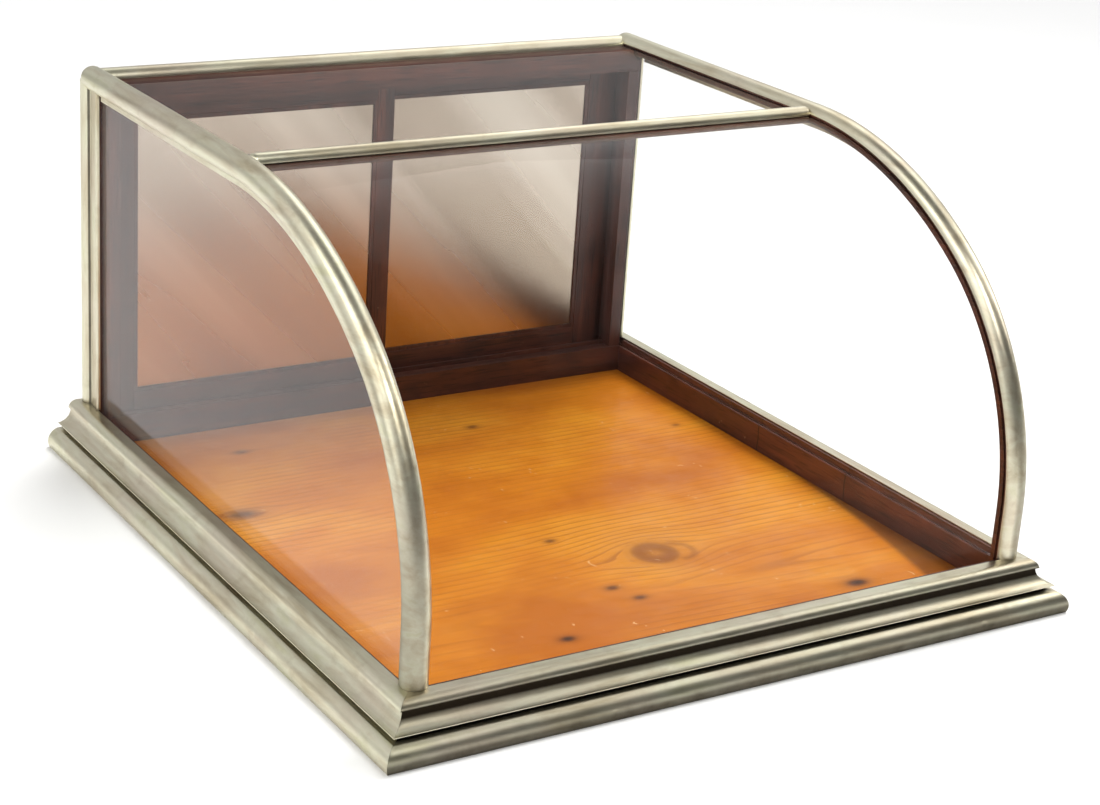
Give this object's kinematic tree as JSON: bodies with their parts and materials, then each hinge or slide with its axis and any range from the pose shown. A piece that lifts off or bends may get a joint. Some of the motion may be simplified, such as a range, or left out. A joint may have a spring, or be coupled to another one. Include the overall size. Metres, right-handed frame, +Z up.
{
  "type": "countertop bakery display case",
  "caption": "Countertop display case with bent glass front, nickel-clad rails and moulded base, wood floor and mirrored sliding rear doors.",
  "frame": {"origin": "centre of the base's footprint, on the plane it rests on", "axes": "+X to the right seen from the front, +Y towards the rear doors, +Z up; the bent glass faces -Y"},
  "size_m": [0.6862, 0.7141, 0.38],
  "materials": {
    "nickel": "aged nickel silver, satin with polished highlights and small dings",
    "mahogany": "dark red-brown varnished mahogany",
    "pine": "honey-coloured varnished pine with knots",
    "glass": "clear old sheet glass",
    "mirror": "silvered glass"
  },
  "bodies": {
    "case": {"base_moulding_front": "nickel", "base_moulding_left": "nickel", "base_moulding_right": "nickel", "moulding_core_front": "mahogany", "moulding_core_left": "mahogany", "moulding_core_right": "mahogany", "base_rail_front": "mahogany", "base_rail_left": "mahogany", "base_rail_right": "mahogany", "rear_sill": "mahogany", "floor_board": "pine", "floor_cleat_left": "mahogany", "floor_cleat_right": "mahogany", "floor_batten": "pine", "corner_post_left": "nickel", "corner_post_right": "nickel", "rear_jamb_left": "mahogany", "rear_jamb_right": "mahogany", "head_rail": "mahogany", "rear_top_rail": "nickel", "side_rail_left": "nickel", "side_rail_right": "nickel", "bent_rail_left": "nickel", "bent_rail_right": "nickel", "rail_core_left": "mahogany", "rail_core_right": "mahogany", "cross_rail": "nickel", "cross_core": "mahogany", "top_glass": "glass", "front_glass": "glass", "side_glass_left": "glass", "side_glass_right": "glass"},
    "left_door": {"left_door_outer_stile": "mahogany", "left_door_meeting_stile": "mahogany", "left_door_top_rail": "mahogany", "left_door_bottom_rail": "mahogany", "left_door_mirror": "mirror", "left_door_bead": "mahogany", "left_door_backing": "mahogany", "left_door_pull": "nickel"},
    "right_door": {"right_door_outer_stile": "mahogany", "right_door_meeting_stile": "mahogany", "right_door_top_rail": "mahogany", "right_door_bottom_rail": "mahogany", "right_door_mirror": "mirror", "right_door_bead": "mahogany", "right_door_backing": "mahogany", "right_door_pull": "nickel"}
  },
  "joints": [
    {"name": "left_door_slide", "type": "slide", "parent": "case", "child": "left_door", "axis": [1, 0, 0], "range_m": [0, 0.28]},
    {"name": "right_door_slide", "type": "slide", "parent": "case", "child": "right_door", "axis": [-1, 0, 0], "range_m": [-0.0115, 0.2675]}
  ]
}
